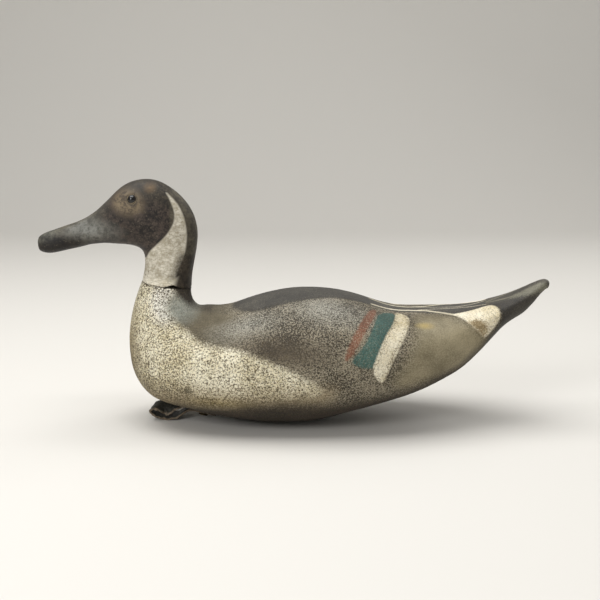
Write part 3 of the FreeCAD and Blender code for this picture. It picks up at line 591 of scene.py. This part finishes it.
def mottled(name, bright, dark, grain_mm, roughness, relief_mm, metallic=0.0, spread=0.14):
    """A worn single-colour finish: two shades clouded together, with relief of the same grain."""
    material, nodes = begin(name)
    place = add(nodes, "ShaderNodeTexCoord").outputs["Object"]
    cloud = add(nodes, "ShaderNodeTexNoise",
                {"Vector": place, "Scale": size(grain_mm), "Detail": 5.0, "Roughness": 0.65}).outputs[0]
    shade = add(nodes, "ShaderNodeMapRange",
                {0: cloud, 1: 0.5 - spread, 2: 0.5 + spread, 3: 0.0, 4: 1.0}).outputs[0]
    colour = add(nodes, "ShaderNodeMix", {FACTOR: shade, FIRST: tint(bright), SECOND: tint(dark)},
                 data_type="RGBA").outputs[MIXED]
    gloss = add(nodes, "ShaderNodeMapRange",
                {0: shade, 1: 0.0, 2: 1.0, 3: roughness, 4: roughness + 0.2}).outputs[0]
    bump = add(nodes, "ShaderNodeBump",
               {"Height": cloud, "Distance": relief_mm * MM, "Strength": 0.7}).outputs[0]
    finish = add(nodes, "ShaderNodeBsdfPrincipled",
                 {"Base Color": colour, "Metallic": metallic, "Roughness": gloss, "Normal": bump})
    add(nodes, "ShaderNodeOutputMaterial", {"Surface": finish.outputs[0]})
    return material


def blown_glass():
    """Dark brown blown glass with a black pupil: a sharp highlight on near black."""
    material, nodes = begin("blown_glass")
    ring = add(nodes, "ShaderNodeAttribute", attribute_name="off_axis").outputs["Fac"]
    iris = add(nodes, "ShaderNodeMapRange", {0: ring, 1: 2.2, 2: 2.6, 3: 0.0, 4: 1.0}).outputs[0]
    colour = add(nodes, "ShaderNodeMix", {FACTOR: iris, FIRST: tint("040303"), SECOND: tint("0c0705")},
                 data_type="RGBA").outputs[MIXED]
    glass = add(nodes, "ShaderNodeBsdfPrincipled",
                {"Base Color": colour, "Roughness": 0.03, "IOR": 1.52})
    add(nodes, "ShaderNodeOutputMaterial", {"Surface": glass.outputs[0]})
    return material


def oiled_leather():
    """Harness leather, oiled and weathered: dark creased face, cut edges gone pale and fibrous in places."""
    material, nodes = begin("oiled_harness_leather")
    place = add(nodes, "ShaderNodeTexCoord").outputs["Object"]
    crease = add(nodes, "ShaderNodeTexVoronoi", {"Vector": place, "Scale": size(1.8)},
                 feature="DISTANCE_TO_EDGE").outputs["Distance"]
    fibre = add(nodes, "ShaderNodeTexNoise",
                {"Vector": place, "Scale": size(2.2), "Detail": 4.0, "Roughness": 0.7}).outputs[0]
    shade = add(nodes, "ShaderNodeMapRange", {0: fibre, 1: 0.36, 2: 0.64, 3: 0.0, 4: 1.0}).outputs[0]
    face = add(nodes, "ShaderNodeMix", {FACTOR: shade, FIRST: tint("3b3a32"), SECOND: tint("171613")},
               data_type="RGBA").outputs[MIXED]
    edge = add(nodes, "ShaderNodeAttribute", attribute_name="cut_edge").outputs["Fac"]
    torn = add(nodes, "ShaderNodeMath", {0: fibre, 1: 0.5}, operation="SUBTRACT").outputs[0]
    frayed = add(nodes, "ShaderNodeMath", {0: torn, 1: 3.0, 2: edge}, operation="MULTIPLY_ADD").outputs[0]
    pale = add(nodes, "ShaderNodeMapRange", {0: frayed, 1: 0.3, 2: 0.9, 3: 0.0, 4: 1.0}).outputs[0]
    edge_colour = add(nodes, "ShaderNodeMix", {FACTOR: shade, FIRST: tint("8d7f6a"), SECOND: tint("4f4134")},
                      data_type="RGBA").outputs[MIXED]
    colour = add(nodes, "ShaderNodeMix", {FACTOR: pale, FIRST: face, SECOND: edge_colour},
                 data_type="RGBA").outputs[MIXED]
    height = add(nodes, "ShaderNodeMath", {0: crease, 1: 0.6, 2: fibre}, operation="MULTIPLY_ADD").outputs[0]
    bump = add(nodes, "ShaderNodeBump", {"Height": height, "Distance": 0.6 * MM, "Strength": 0.9}).outputs[0]
    leather = add(nodes, "ShaderNodeBsdfPrincipled",
                  {"Base Color": colour, "Roughness": 0.62, "IOR": 1.45, "Normal": bump})
    add(nodes, "ShaderNodeOutputMaterial", {"Surface": leather.outputs[0]})
    return material


def turned_dowel():
    """Birch dowel: pale wood with grain lines 0.8 mm apart along its length."""
    material, nodes = begin("birch_dowel")
    place = add(nodes, "ShaderNodeTexCoord").outputs["Object"]
    along = add(nodes, "ShaderNodeMapping", {"Vector": place, "Scale": (1.0, 1.0, 0.06)}).outputs[0]
    grain = add(nodes, "ShaderNodeTexNoise", {"Vector": along, "Scale": size(0.8), "Detail": 3.0}).outputs[0]
    colour = add(nodes, "ShaderNodeMix", {FACTOR: grain, FIRST: tint("c9a878"), SECOND: tint("a37e50")},
                 data_type="RGBA").outputs[MIXED]
    wood = add(nodes, "ShaderNodeBsdfPrincipled", {"Base Color": colour, "Roughness": 0.6})
    add(nodes, "ShaderNodeOutputMaterial", {"Surface": wood.outputs[0]})
    return material


# Pieces --------------------------------------------------------------------------------------------
EYE_BALLS = {side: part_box(side + "_eye") for side in ("left", "right")}


def hull_grid():
    """The painted hull: its sections moved out by the paint and by the unevenness of hand carving.

    The carving is lumps 22, 9 and 3.2 mm across and up to 0.28, 0.1 and 0.07 mm high. Returns the grid and
    the girth at each of its points.
    """
    stations = np.linspace(0.08, len(HULL_ROWS) - 1, 400)  # its rounded end makes the last of the tail
    grid = sections(HULL_ROWS, stations, 256)
    tape = girth(grid)
    carving = 0.28 * lumps(grid, 22, 3) + 0.1 * lumps(grid, 9, 4) + 0.07 * lumps(grid, 3.2, 5)
    grid = grid + outward(grid) * (PAINT_BUILD + carving)[..., None]
    grid = drawn_in(grid, (stations[-1] - stations)[:, None, None] * HULL_STEP, 0.9)
    tail = rounded_end(grid[0], (1, 0, 0), 0.2)[::-1]
    neck = flat_end(grid[-1], 0.4)
    whole = np.concatenate([tail, grid, neck])
    edges = [np.repeat(tape[:1], len(tail), 0), tape, np.repeat(tape[-1:], len(neck), 0)]
    return whole, np.concatenate(edges)


def split_hull():
    """The hull and the hollow inside it, turned inwards, parted level at the joint and closed flat there."""
    grid, tape = hull_grid()
    skin = closed_form("hull", grid)
    give(skin, tape=np.append(tape.ravel(), [tape[0].mean(), tape[-1].mean()]))
    hollow = closed_form("hollow", sections(HULL_ROWS, np.linspace(*HOLLOW_SPAN, 90), 120, WALL))
    halves = []
    for name, keep_upper in (("painted_upper_half", True), ("painted_lower_half", False)):
        shape = bmesh.new()
        shape.from_mesh(hollow.data)
        bmesh.ops.reverse_faces(shape, faces=shape.faces)
        shape.from_mesh(skin.data)
        bmesh.ops.bisect_plane(
            shape, geom=shape.verts[:] + shape.edges[:] + shape.faces[:], dist=1e-7,
            plane_co=(0, 0, JOINT_HEIGHT * MM), plane_no=(0, 0, 1),
            clear_inner=keep_upper, clear_outer=not keep_upper,
        )
        rim = [e for e in shape.edges if e.is_boundary]
        bmesh.ops.triangle_fill(shape, edges=rim, use_beauty=True, use_dissolve=False,
                                normal=(0, 0, -1 if keep_upper else 1))
        for edge in rim:
            edge.smooth = False
        mesh = bpy.data.meshes.new(name)
        shape.to_mesh(mesh)
        shape.free()
        mesh.shade_smooth()
        piece = bpy.data.objects.new(name, mesh)
        bpy.context.scene.collection.objects.link(piece)
        halves.append(piece)
    for spare in (skin, hollow):
        bpy.data.objects.remove(spare)
    return halves


def paint_hull(piece, material):
    """Lays the painted outlines on the hull and says where it is pitted and how coarse it is."""
    x, y, z = read(piece).T
    tape = read(piece, "tape")
    cream = within(CREAM, x, z)
    vent = within(VENT, x, tape)
    masks = {
        "shoulder": near(x, z, (-78, 91), (31, 15)),
        "pale_side": np.maximum(near(x, tape, (32, 50), (30, 17)), near(x, tape, (-36, 58), (24, 12))),
        "dusk_side": near(x, z, (-8 - (z - 76) * 0.6, 78), (34, 11)),
        "flank": within(FLANK, x, tape),
        "flank_glow": near(x, tape, (150, 56), (18, 12)),
        # dark bottom paint below these levels, deepened as painted shade under the belly
        "underside": np.interp(x, *zip(*UNDERSIDE_LEVELS)) - z,
        "mantle": within(MANTLE, x, tape),
        "cream": cream,
        "pale_top": np.minimum(near(x, z, (-113, 112), (12, 18)), cream),
        # painted shade along the breast's front edge
        "brown_front": near(x, z, (-152, 56), (15, 52)),
        # painted shade: the breast darker below about 43 mm
        "low_breast": np.minimum(43 - z, cream + 6),
        "ochre": near(x, z, (-62, 31), (22, 5)),
        "blue_grey": near(x, z, (-99, 107), (14, 10)),
        "rust": within(RUST_BAR, x, tape),
        "teal": within(TEAL_BAR, x, tape),
        "white": within(WHITE_BAR, x, tape),
        "lines": np.maximum(brushed_line(FEATHER_LINE, 1.9, x, tape), brushed_line(INNER_LINE, 0.7, x, tape)),
        "tail": within(TAIL, x, tape),
        "tail_lines": brushed_line(TAIL_LINE, 1.0, x, tape),
        "vent": vent,
        "nape": within(NAPE_FOOT, x, z),
        # a painted highlight on the flank: a small pale yellowish spot
        "painted_highlight_spot": near(x, tape, (113, 47), (6, 4)),
        "vent_stain": np.minimum(near(x, tape, (160, 45), (10, 8)), vent),
        "scuffs": near(x, tape, (210, 11), (19, 6)),
        "scar": np.where(y < 0, 3.6 - np.hypot(x + 90, z - 43), AWAY),
        # chips in the paint, and the hull's rim within 0.7 mm under the neck seat, ahead of SEAT_BACK,
        # darkened as painted shadow in the seam
        "chips": np.maximum(chipped(CHIPS, x, y, z), np.minimum(above_seat(x, z) + 0.7, SEAT_BACK - x)),
    }
    give(piece, **masks)
    smooth = np.maximum.reduce([masks["flank"] / 8, masks["tail"] / 5, masks["mantle"] / 10])
    smooth = np.clip(smooth + 0.2, 0, 1)
    pale = np.clip(np.maximum.reduce([cream, masks["white"], vent]) / 3 + 0.5, 0, 1)
    clean = np.clip(np.maximum(vent, masks["white"] - 2) / 3 + 0.3, 0, 1)
    collar = np.clip((z - 98) / 26, 0, 1) * np.clip((-108 - x) / 10, 0, 1)
    low_breast = np.clip((-96 - x) / 30, 0, 1) * np.clip((92 - z) / 30, 0, 1)
    pits = 0.3 + 0.4 * pale - 0.4 * clean - 0.2 * smooth + 0.3 * collar ** 3 + 0.25 * low_breast
    give(piece, grain=1 - 0.65 * smooth, pits=np.clip(pits, 0, 1))
    piece.data.materials.append(material)
    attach(piece, "decoy")


def from_eye(x, y, z):
    """Distance in mm to the rim of the eye on the same side, seen from the side."""
    low, high = EYE_BALLS["left"]
    ball = (low + high) / 2 / MM
    to_rim = np.hypot(x - ball.x, z - ball.z) - (high.x - low.x) / 2 / MM
    return np.where(np.abs(y) > 6, to_rim, 99)  # near the middle plane there is no eye


def head_grid():
    """The painted head and neck: sections from the neck seat to the bill tip, moved out by paint and carving.

    The carving is lumps 14 and 5 mm across and up to 0.2 and 0.06 mm high. A lid round each eye is a ridge
    0.25 mm high outside a groove 0.6 mm deep, both bell curves of the distance to the eye's rim.
    """
    stations = np.linspace(0, len(HEAD_ROWS) - 1.07, 330)  # its rounded end makes the last of the bill
    grid = sections(HEAD_ROWS, stations, 176)
    rim = from_eye(*np.moveaxis(grid, -1, 0))
    lid = 0.25 * np.exp(-(((rim - 1.5) / 1.2) ** 2)) - 0.6 * np.exp(-((rim / 0.9) ** 2))
    carving = 0.2 * lumps(grid, 14, 7) + 0.06 * lumps(grid, 5, 8)
    grid = grid + outward(grid) * (PAINT_BUILD + carving + lid)[..., None]
    seat = stations[:, None, None] * HEAD_STEP
    grid = drawn_in(grid, seat, 0.8)
    # A chip behind the white stripe on the left lifts the lower edge as a bell curve, by up to 3 mm.
    along, up = (grid[..., 0] + 106) / 5.5, seat[..., 0] / 3.0
    grid[..., 2] += 3.0 * np.exp(-(along**2)) * (grid[..., 1] < 0) * np.exp(-(up**2))
    neck = flat_end(grid[0], 0.4)[::-1]
    tip = rounded_end(grid[-1], (-1, 0, 0.1), 0.8)
    return np.concatenate([neck, grid, tip])


def head_piece(material):
    """The painted head and neck, with its painted outlines and where its paint is speckled."""
    piece = closed_form("painted_head_and_neck", head_grid())
    x, y, z = read(piece).T
    bill = within(BILL, x, z)
    neck_white = within(NECK_WHITE, x, z)
    masks = {
        "crown": np.minimum(z - 203 + 0.25 * (x + 140), 12),
        "eye_patch": within(EYE_PATCH, x, z),
        "crown_spot": within(CROWN_SPOT, x, z),
        "bill": bill,
        # a painted highlight along the upper side of the bill
        "bill_sheen": near(x, z, (-180 - (z - 176) * 0.35, 174), (20, 8)),
        "bill_top": np.minimum(bill, 6 - np.abs(y) + 0.25 * (-196 - x)),
        "bill_tip": -208 - x,
        # painted shade under the bill, below the BILL_SHADE line
        "bill_under": np.minimum(bill + 8, np.interp(x, *zip(*BILL_SHADE)) - z),
        "neck_white": neck_white,
        "nape": np.minimum(-neck_white, x + 108),
        "nape_base": np.minimum(-neck_white + 3, 152 - z) - 8 * (x < -112),
        "collar": np.minimum(131 - z, neck_white),
        "lid": 0.7 - np.abs(from_eye(x, y, z) + 0.1),
        # chips in the paint, and the head's foot below the neck seat darkened as painted shadow in the seam
        "chips": np.maximum(chipped(HEAD_CHIPS, x, y, z), 0.1 - above_seat(x, z)),
    }
    give(piece, **masks)
    chin = np.clip(1 - np.hypot((x + 140) / 22, (z - 172) / 16), 0, 1)
    foot = np.clip((134 - z) / 8, 0, 1)
    give(piece, speckles=np.clip(0.12 + 0.9 * chin + 0.5 * foot, 0, 1))
    piece.data.materials.append(material)
    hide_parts("head_and_neck")
    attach(piece, "decoy")


def eye_piece(side, material):
    """A glass eye: a ball swept from pole to pole, with the distance from its outward axis on each vertex."""
    low, high = EYE_BALLS[side]
    middle = np.array((low + high) / 2) / MM
    radius = (high.x - low.x) / 2 / MM
    outwards = -1 if side == "left" else 1
    polar = np.linspace(0, math.pi, 41)[1:-1, None]
    turn = np.linspace(0, 2 * math.pi, 64, endpoint=False)[None, :]
    ring = np.sin(polar)
    ball = np.stack([ring * np.cos(turn), outwards * np.cos(polar) + 0 * turn, ring * np.sin(turn)], -1)
    piece = closed_form("glass_eye_" + side, middle + radius * ball)
    spot = read(piece) - middle
    give(piece, off_axis=np.where(spot[:, 1] * outwards > 0, np.hypot(spot[:, 0], spot[:, 2]), radius))
    piece.data.materials.append(material)
    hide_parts(side + "_eye")
    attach(piece, "decoy")


def band(path, tangent, half_width, half_thick, around):
    """A strap carried along a path in the X-Z plane, its width along Y, its section a squared ellipse.

    Round the section, the width is the cube root of the angle's cosine, and the thickness the square root of
    its sine.
    """
    level = 0 * path[:, 0]
    centre = np.stack([path[:, 0], level, path[:, 1]], -1)
    upright = np.stack([-tangent[:, 1], level, tangent[:, 0]], -1)
    across = np.stack([level, level + 1, level], -1)
    angle = np.linspace(0, 2 * math.pi, around, endpoint=False)
    cosine, sine = np.cos(angle), np.sin(angle)
    wide = np.sign(cosine) * np.abs(cosine) ** (1 / 3)
    thick = np.sign(sine) * np.abs(sine) ** (1 / 2)
    wide, thick = wide[None, :, None] * half_width, thick[None, :, None] * half_thick
    return centre[:, None, :] + across[:, None, :] * wide + upright[:, None, :] * thick


STRIP_FLAT = (-26.0, 6.0)
STRIP_BENDS = ((150.0, 37.0), (120.0, 53.0))  # radius and length of the bend ahead of the flat and behind it


def keel_piece(material):
    """The lead strip: flat under the balance point, bent up along an arc at each end, and dented by lumps."""
    low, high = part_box("ballast_strip")
    half_width = (high.y - low.y) / 2 / MM
    (front_radius, front_length), (rear_radius, rear_length) = STRIP_BENDS
    run = np.linspace(STRIP_FLAT[0] - front_length, STRIP_FLAT[1] + rear_length, 200)
    ahead = np.clip(STRIP_FLAT[0] - run, 0, None) / front_radius
    behind = np.clip(run - STRIP_FLAT[1], 0, None) / rear_radius
    middle = STRIP_THICKNESS / 2
    front_radius, rear_radius = front_radius - middle, rear_radius - middle
    x = np.clip(run, *STRIP_FLAT) - front_radius * np.sin(ahead) + rear_radius * np.sin(behind)
    z = middle + front_radius * (1 - np.cos(ahead)) + rear_radius * (1 - np.cos(behind))
    tilt = behind - ahead
    path, tangent = np.stack([x, z], -1), np.stack([np.cos(tilt), np.sin(tilt)], -1)
    grid = band(path, tangent, half_width, middle, 72)
    dents = lumps(grid, 9, 11) * 0.22 + lumps(grid, 3, 12) * 0.08
    grid = grid + outward(grid) * (np.minimum(dents, 0) - 0.02)[..., None]
    piece = closed_form("lead_keel_strip", grid)
    piece.data.materials.append(material)
    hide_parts("ballast_strip")
    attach(piece, "decoy")


# The strap's middle line, x and z, from the lower ply's nailed end round the loop to the upper ply's.
STRAP_ROUTE = (
    (-70.4, 5.0), (-77, 6.5), (-85, 8.3), (-92.5, 9.4), (-98.5, 7.6), (-104, 3.6), (-111, 1.9), (-118, 2.2),
    (-124.5, 4.2), (-128.8, 7.6), (-126.6, 11.2), (-120.5, 13.3), (-112.5, 13.6), (-105, 13.2), (-98.5, 12.9),
    (-92.2, 12.4), (-84, 10.6), (-76, 8.8), (-70.4, 7.5),
)
STRAP_THICKNESS = 2.5


def strap_piece(material):
    """The leather strap: from one nailed end round the loop to the other, worn, curled and twisted.

    A band along its route is moved by sums: the upper ply's left half droops as a bell curve of x times a
    power of the distance across, lumps times a higher power of it make the edges ragged, and finer ones
    crumple the whole.
    """
    low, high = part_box("line_loop")
    at = np.linspace(0, len(STRAP_ROUTE) - 1, 260)
    line = fair(STRAP_ROUTE, at)
    tangent = np.gradient(line, axis=0)
    tangent /= np.linalg.norm(tangent, axis=1, keepdims=True)
    half_width = (high.y - low.y) / 2 / MM - 0.3
    grid = band(line, tangent, half_width, STRAP_THICKNESS / 2, 56)
    free = np.clip((-98 - grid[..., 0]) / 14, 0, 1)  # 0 where it is nailed, 1 on the loop
    upper = np.clip(at - 9, 0, 1)[:, None]  # 1 past the loop's round end
    side = grid[..., 1] / half_width  # -1 at the left edge, 1 at the right one
    droop = 8.0 * np.exp(-(((grid[..., 0] + 114) / 8.5) ** 2)) * upper
    grid[..., 2] -= droop * np.clip(0.35 - side, 0, 1.35) ** 1.7 / 1.66
    grid[..., 1] += droop * np.clip(-side, 0, 1) * 0.16
    grid[..., 0] += free * 1.3 * side
    ragged = lumps(grid, 3.1, 21) * 1.2 + lumps(grid, 1.4, 22) * 0.8
    grid[..., 1] += ragged * np.abs(side) ** 4 * np.sign(side)
    frayed = lumps(grid, 2.8, 25) * 0.9 + lumps(grid, 1.3, 26) * 0.6
    grid[..., 2] += frayed * np.abs(side) ** 6 * free
    crumple = lumps(grid, 6, 23) * 0.8 * free + lumps(grid, 2.4, 24) * 0.4
    grid[..., 2] += crumple * (0.4 + 0.6 * free)
    grid[..., 2] = np.maximum(grid[..., 2], 0.35)  # what it lies on holds it up
    piece = closed_form("leather_line_strap", grid)
    ends = np.full(grid.shape[:2], 0.0)
    ends[:4] = ends[-4:] = 1.0
    cut = np.maximum(np.clip((np.abs(side) - 0.86) / 0.14, 0, 1), ends)
    give(piece, cut_edge=np.append(cut.ravel(), [1.0, 1.0]))
    piece.data.materials.append(material)
    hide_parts("line_loop", "strap_ends")
    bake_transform(piece)


def studio():
    """A pale sweep of floor and backdrop, a wide soft light overhead, a smaller one in front, one behind."""
    angle = np.linspace(0, math.pi / 2, 24)
    bend = [(1.4 + 0.8 * math.sin(a), 0.8 - 0.8 * math.cos(a)) for a in angle]
    profile = [(-2.5, 0.0)] + bend + [(2.2, 2.6)]
    vertices = [(side * 4.0, depth, height) for depth, height in profile for side in (-1, 1)]
    faces = [(2 * i, 2 * i + 1, 2 * i + 3, 2 * i + 2) for i in range(len(profile) - 1)]
    mesh = bpy.data.meshes.new("studio_sweep")
    mesh.from_pydata(vertices, [], faces)
    mesh.shade_smooth()
    sweep = bpy.data.objects.new("studio_sweep", mesh)
    bpy.context.scene.collection.objects.link(sweep)
    material, nodes = begin("studio_paper")
    paper = add(nodes, "ShaderNodeBsdfPrincipled", {"Base Color": tint("dad7d1"), "Roughness": 0.75})
    add(nodes, "ShaderNodeOutputMaterial", {"Surface": paper.outputs[0]})
    mesh.materials.append(material)
    for name, place, wide, watts in (
        ("overhead", (-0.3, 0.0, 1.5), 1.4, 24.0),
        ("front", (-0.9, -1.5, 0.9), 0.6, 12.5),
        ("back", (0.9, 0.9, 1.1), 0.8, 4.0),
    ):
        light = bpy.data.lights.new(name, "AREA")
        light.size = wide
        light.energy = watts
        lamp = bpy.data.objects.new(name, light)
        lamp.location = place
        lamp.rotation_euler = (Vector((0, 0, 0.1)) - Vector(place)).to_track_quat("-Z", "Y").to_euler()
        bpy.context.scene.collection.objects.link(lamp)
    world = bpy.data.worlds.new("soft_room")
    world.use_nodes = True
    world.node_tree.nodes["Background"].inputs["Color"].default_value = tint("e9e8e5")
    world.node_tree.nodes["Background"].inputs["Strength"].default_value = 0.45
    bpy.context.scene.world = world
    bpy.context.scene.view_settings.view_transform = "Standard"


def camera():
    """A 70 mm lens on a 36 mm sensor, 1.05 m off and 10 degrees up, square on to the bird's left side."""
    rise = math.radians(10)
    aim = Vector((0, 0, 0.111))
    view = bpy.data.cameras.new("camera")
    view.lens, view.sensor_width = 70, 36
    view.shift_x, view.shift_y = 0.0108, -0.0033
    eye = bpy.data.objects.new("camera", view)
    eye.location = aim + 1.05 * Vector((0, -math.cos(rise), math.sin(rise)))
    eye.rotation_euler = (math.pi / 2 - rise, 0, 0)
    bpy.context.scene.collection.objects.link(eye)
    bpy.context.scene.camera = eye


camera()
studio()
upper_half, lower_half = split_hull()
hull_paint = granular_oil_paint()
for half, node in ((upper_half, "body_upper_half"), (lower_half, "body_lower_half")):
    paint_hull(half, hull_paint)
    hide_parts(node)
head_piece(satin_oil_paint())
glass = blown_glass()
for side in ("left", "right"):
    eye_piece(side, glass)
# Rolled lead, oxidised: dull mid grey, clouded and softly dented.
keel_piece(mottled("rolled_lead", "6b6b69", "4a4a48", 7, 0.55, 0.3, metallic=0.6))
strap_piece(oiled_leather())

# Linseed oil putty, thumbed flat and painted over: matt, dull brown, faintly uneven.
PUTTY = mottled("oil_putty", "7a6c52", "5c5240", 2.5, 0.7, 0.2)
# Steel wire, nails and a screw, lightly rusted: grey metal with brown blooms.
STEEL = mottled("rusted_steel", "6b5f55", "59392a", 2, 0.5, 0.1, metallic=0.7)
# Turned brass, tarnished outdoors: dark brown metal, still a little bright.
BRASS = mottled("tarnished_brass", "54472f", "352d20", 1.5, 0.4, 0.1, metallic=1.0)
# White lead paste pressed out in a thin seam: chalky, yellowed.
WHITE_LEAD = mottled("white_lead_paste", "c4bfae", "aaa48f", 3, 0.7, 0.15)
DOWEL = turned_dowel()
CAD_FINISHES = {
    "joint_sealant": WHITE_LEAD,
    "body_nails": STEEL,
    "body_nail_putty": PUTTY,
    "neck_screw": STEEL,
    "neck_screw_washer": STEEL,
    "neck_dowel": DOWEL,
    "neck_nails": STEEL,
    "neck_nail_putty": PUTTY,
    "left_eye_wire": STEEL,
    "left_eye_putty": PUTTY,
    "right_eye_wire": STEEL,
    "right_eye_putty": PUTTY,
    "ballast_screws": BRASS,
    "loop_tacks": BRASS,
}
for node, finish in CAD_FINISHES.items():
    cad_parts[node].data.materials.clear()
    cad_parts[node].data.materials.append(finish)
